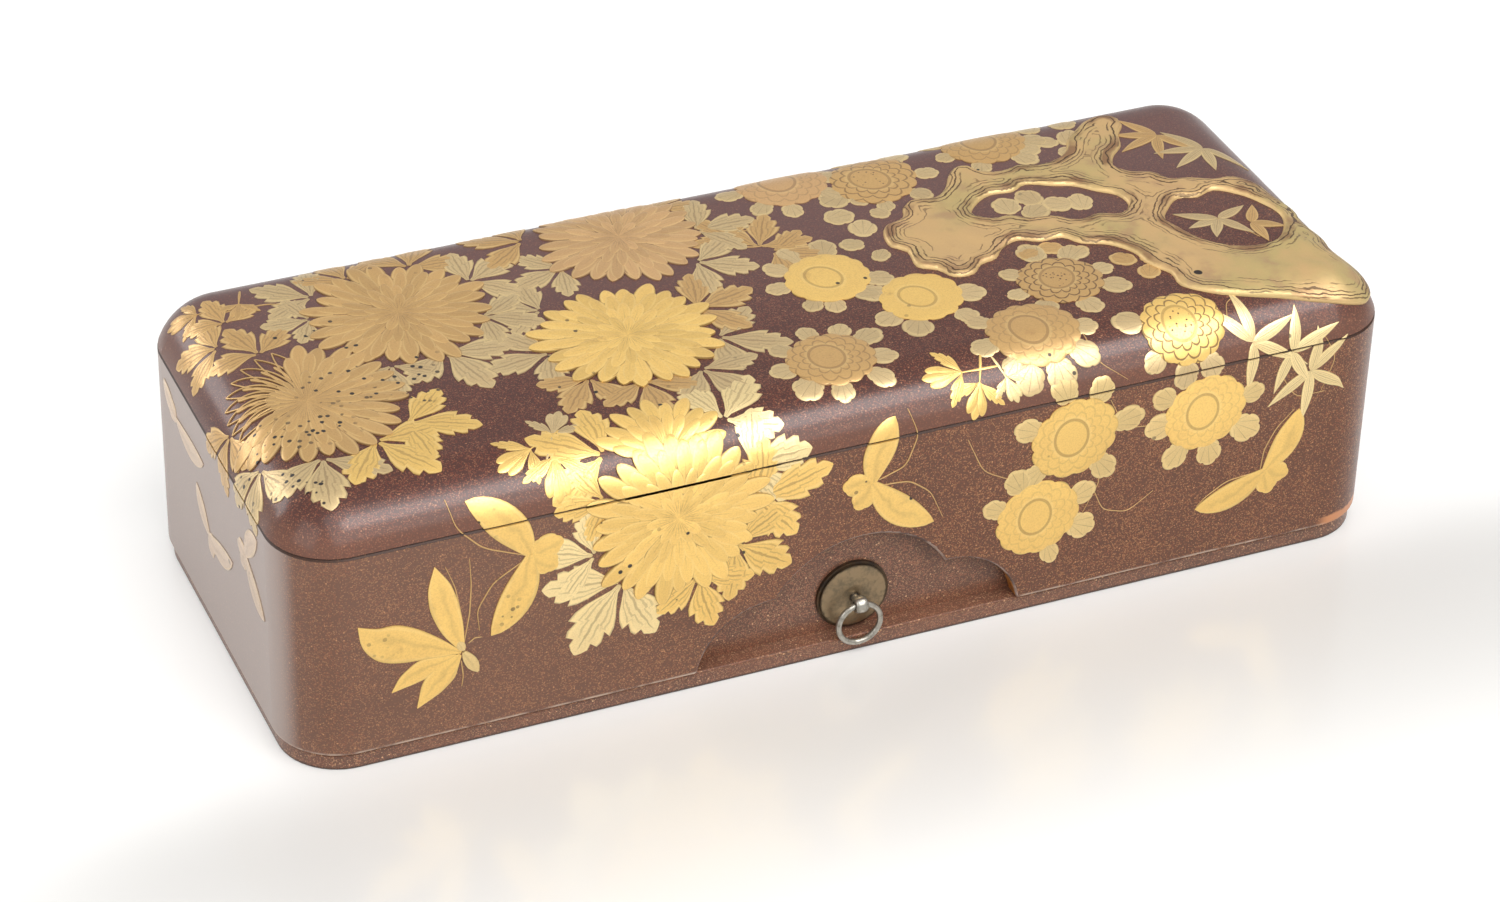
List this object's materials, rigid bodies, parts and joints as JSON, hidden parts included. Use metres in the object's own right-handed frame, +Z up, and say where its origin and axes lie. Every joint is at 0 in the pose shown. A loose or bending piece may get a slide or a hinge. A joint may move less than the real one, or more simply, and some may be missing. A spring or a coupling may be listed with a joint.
{
  "type": "writing box with inkstone",
  "caption": "Long rounded lacquer writing box: ringed base, case with cusped openings, flush lid, and a tray with inkstone, brushes and water dropper.",
  "frame": {"origin": "on the resting surface, under the middle of the box", "axes": "+X along the box's length, -Y towards its front face, +Z up"},
  "size_m": [0.25, 0.1016, 0.063],
  "materials": {
    "base_lacquer": "brown lacquer with sprinkled gold flakes, satin",
    "case_lacquer": "brown lacquer with sprinkled gold flakes, satin",
    "lid_lacquer": "dark brown lacquer with sprinkled gold flakes, satin",
    "inside_lacquer": "black lacquer, polished",
    "tray_lacquer": "dark lacquer with a few gold flakes, polished",
    "dark_bronze": "tarnished dark bronze",
    "silver": "worn white metal",
    "slate": "honed slate stone",
    "ink": "pressed soot, satin",
    "copper": "patinated copper",
    "bamboo": "polished bamboo",
    "hair": "soft animal hair",
    "knife_steel": "ground steel",
    "gold_relief": "raised gold lacquer, satin"
  },
  "bodies": {
    "base": {"base_board": "base_lacquer", "base_wall": "base_lacquer", "ring_washer_front": "dark_bronze", "ring_plate_front": "dark_bronze", "ring_staple_front": "silver", "ring_washer_back": "dark_bronze", "ring_plate_back": "dark_bronze", "ring_staple_back": "silver"},
    "front_ring": {"cord_ring_front": "silver"},
    "back_ring": {"cord_ring_back": "silver"},
    "case": {"case_wall": "case_lacquer", "case_floor": "inside_lacquer", "case_rim_liner": "inside_lacquer"},
    "lid": {"lid_shell": "lid_lacquer"},
    "tray": {"tray_frame": "tray_lacquer", "tray_board": "tray_lacquer", "brush_rest_left": "tray_lacquer", "brush_rest_right": "tray_lacquer"},
    "inkstone": {"inkstone": "slate"},
    "ink_stick": {"ink_stick": "ink"},
    "water_dropper": {"dropper_body": "copper", "dropper_top": "copper"},
    "large_brush": {"brush_handle_large": "bamboo", "brush_hair_large": "hair"},
    "large_brush_cap": {"brush_cap_large": "bamboo"},
    "small_brush": {"brush_handle_small": "bamboo", "brush_hair_small": "hair"},
    "small_brush_cap": {"brush_cap_small": "bamboo"},
    "paper_knife": {"knife_handle": "bamboo", "knife_blade": "knife_steel"}
  },
  "joints": [
    {"name": "front_ring_swing", "type": "hinge", "parent": "base", "child": "front_ring", "pos_m": [0, -0.049, 0.0123], "axis": [-1, 0, 0], "range_deg": [0, 175]},
    {"name": "back_ring_swing", "type": "hinge", "parent": "base", "child": "back_ring", "pos_m": [0, 0.049, 0.0123], "axis": [1, 0, 0], "range_deg": [0, 175]},
    {"name": "case_lift", "type": "slide", "parent": "base", "child": "case", "axis": [0, 0, 1], "range_m": [0, 0.05]},
    {"name": "tray_lift", "type": "slide", "parent": "case", "child": "tray", "axis": [0, 0, 1], "range_m": [0, 0.05]},
    {"name": "lid_lift", "type": "slide", "parent": "tray", "child": "lid", "axis": [0, 0, 1], "range_m": [0, 0.06]},
    {"name": "inkstone_lift", "type": "slide", "parent": "tray", "child": "inkstone", "axis": [0, 0, 1], "range_m": [0, 0.008]},
    {"name": "ink_stick_lift", "type": "slide", "parent": "tray", "child": "ink_stick", "axis": [0, 0, 1], "range_m": [0, 0.01]},
    {"name": "water_dropper_lift", "type": "slide", "parent": "tray", "child": "water_dropper", "axis": [0, 0, 1], "range_m": [0, 0.005]},
    {"name": "large_brush_lift", "type": "slide", "parent": "tray", "child": "large_brush", "axis": [0, 0, 1], "range_m": [0, 0.01]},
    {"name": "large_brush_cap_slide", "type": "slide", "parent": "large_brush", "child": "large_brush_cap", "axis": [1, 0, 0], "range_m": [0, 0.034]},
    {"name": "small_brush_lift", "type": "slide", "parent": "tray", "child": "small_brush", "axis": [0, 0, 1], "range_m": [0, 0.01]},
    {"name": "small_brush_cap_slide", "type": "slide", "parent": "small_brush", "child": "small_brush_cap", "axis": [1, 0, 0], "range_m": [0, 0.034]},
    {"name": "paper_knife_lift", "type": "slide", "parent": "tray", "child": "paper_knife", "axis": [0, 0, 1], "range_m": [0, 0.01]}
  ]
}
